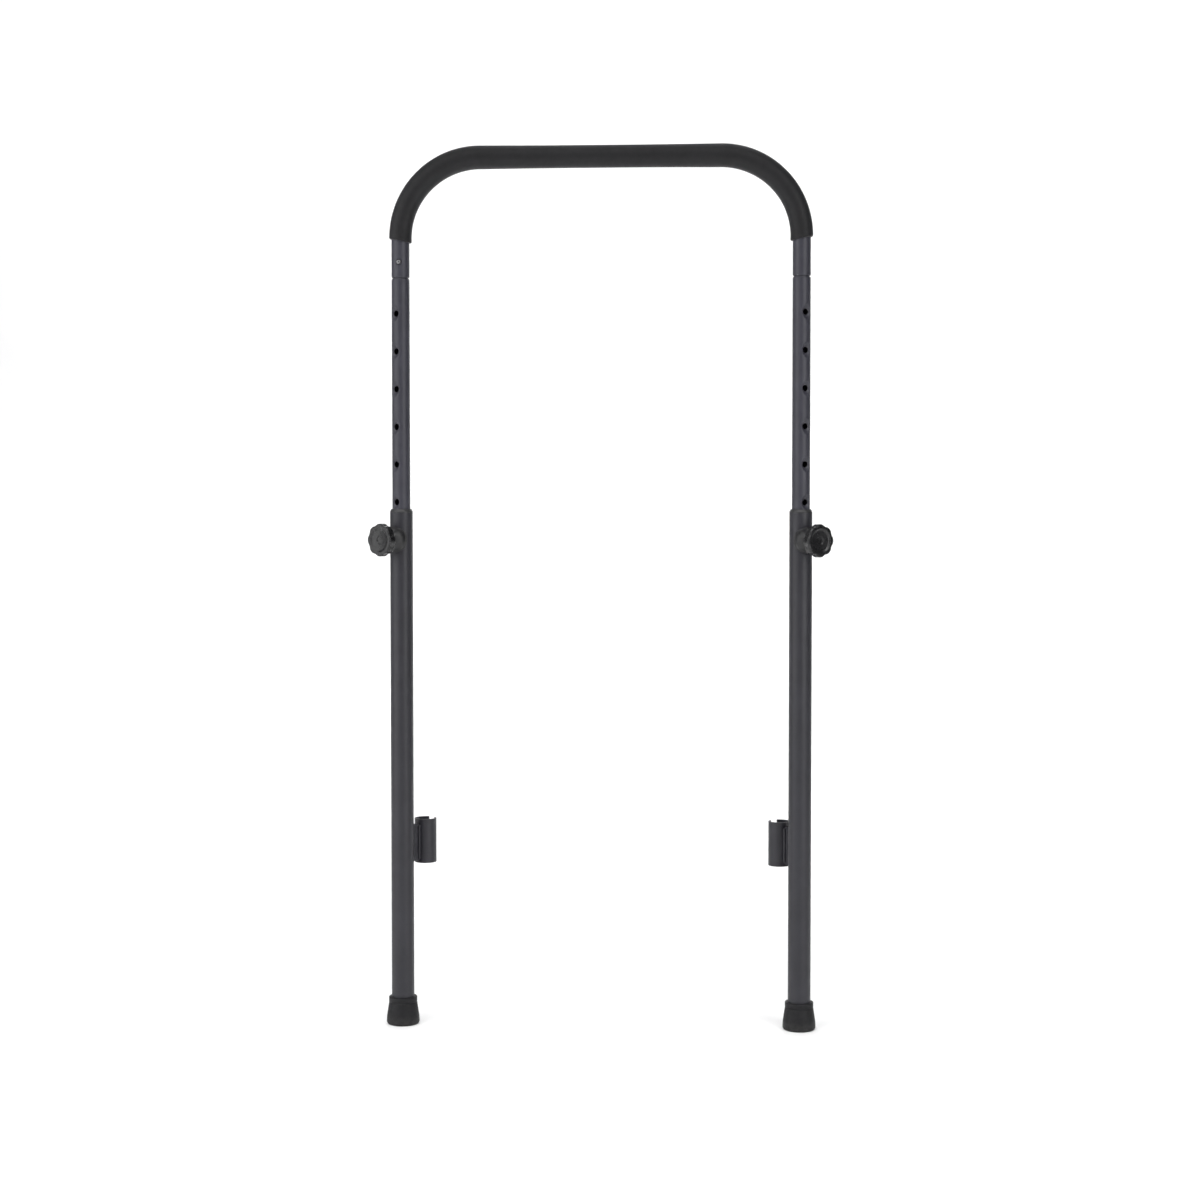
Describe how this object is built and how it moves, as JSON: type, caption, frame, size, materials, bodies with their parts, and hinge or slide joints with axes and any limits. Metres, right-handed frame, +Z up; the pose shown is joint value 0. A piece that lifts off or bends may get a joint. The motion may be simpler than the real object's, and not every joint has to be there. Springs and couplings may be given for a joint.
{
  "type": "toilet safety frame support hoop",
  "caption": "Padded inverted-U hand rail on two telescoping tube legs with fluted locking knobs, rear cross-rail sockets and rubber feet.",
  "frame": {"origin": "on the floor, midway between the two legs, in the plane of the hoop", "axes": "+Z up, +X towards the right leg, -Y is the front, where the knobs face; the sockets are at +Y"},
  "size_m": [0.5168, 0.0804, 0.9847],
  "materials": {
    "painted_tube": "semi-gloss black powder coat",
    "grip_foam": "matt closed-cell foam",
    "moulded_plastic": "fine moulded grain",
    "knob_plastic": "fine moulded grain, edges polished by use",
    "foot_rubber": "matt moulded rubber",
    "plated_steel": "bright zinc plate"
  },
  "bodies": {
    "upper_frame": {"top_hoop": "painted_tube", "grip_sleeve": "grip_foam", "left_inner_tube": "painted_tube", "left_inner_tube_glide": "moulded_plastic", "left_button_spring": "plated_steel", "right_inner_tube": "painted_tube", "right_inner_tube_glide": "moulded_plastic", "right_button_spring": "plated_steel"},
    "left_leg": {"left_outer_tube": "painted_tube", "left_collar_bushing": "moulded_plastic", "left_rubber_foot": "foot_rubber", "left_foot_washer": "plated_steel", "left_socket_tube": "painted_tube", "left_socket_web": "painted_tube", "left_saddle": "moulded_plastic", "left_weld_nut": "plated_steel"},
    "right_leg": {"right_outer_tube": "painted_tube", "right_collar_bushing": "moulded_plastic", "right_rubber_foot": "foot_rubber", "right_foot_washer": "plated_steel", "right_socket_tube": "painted_tube", "right_socket_web": "painted_tube", "right_saddle": "moulded_plastic", "right_weld_nut": "plated_steel"},
    "left_washer": {"left_knob_washer": "plated_steel"},
    "right_washer": {"right_knob_washer": "plated_steel"},
    "left_knob": {"left_knob_head": "knob_plastic", "left_knob_stud": "plated_steel"},
    "right_knob": {"right_knob_head": "knob_plastic", "right_knob_stud": "plated_steel"},
    "left_button": {"left_snap_button": "plated_steel"},
    "right_button": {"right_snap_button": "plated_steel"}
  },
  "joints": [
    {"name": "left_leg_slide", "type": "slide", "parent": "upper_frame", "child": "left_leg", "axis": [0, 0, 1], "range_m": [0, 0.252]},
    {"name": "right_leg_slide", "type": "slide", "parent": "upper_frame", "child": "right_leg", "axis": [0, 0, 1], "range_m": [0, 0.252]},
    {"name": "left_knob_travel", "type": "slide", "parent": "left_leg", "child": "left_washer", "axis": [-0.6018, -0.7986, 0], "range_m": [0, 0.005]},
    {"name": "left_knob_turn", "type": "hinge", "parent": "left_washer", "child": "left_knob", "pos_m": [-0.223, 0, 0.547], "axis": [-0.6018, -0.7986, 0], "range_deg": [0, 1440]},
    {"name": "right_knob_travel", "type": "slide", "parent": "right_leg", "child": "right_washer", "axis": [0.6018, -0.7986, 0], "range_m": [0, 0.005]},
    {"name": "right_knob_turn", "type": "hinge", "parent": "right_washer", "child": "right_knob", "pos_m": [0.223, 0, 0.547], "axis": [0.6018, -0.7986, 0], "range_deg": [0, 1440]},
    {"name": "left_button_press", "type": "slide", "parent": "upper_frame", "child": "left_button", "axis": [0.0698, 0.9976, 0], "range_m": [0, 0.004], "stiffness_N_per_m": 1500, "springref_m": -0.002, "deforming": ["left_button_spring"]},
    {"name": "right_button_press", "type": "slide", "parent": "upper_frame", "child": "right_button", "axis": [-0.0698, -0.9976, 0], "range_m": [0, 0.004], "stiffness_N_per_m": 1500, "springref_m": -0.002, "deforming": ["right_button_spring"]}
  ],
  "couplings": [
    {"joint": "left_knob_turn", "follows": "left_knob_travel", "rad_per_m": 5026.5},
    {"joint": "right_knob_turn", "follows": "right_knob_travel", "rad_per_m": 5026.5}
  ]
}
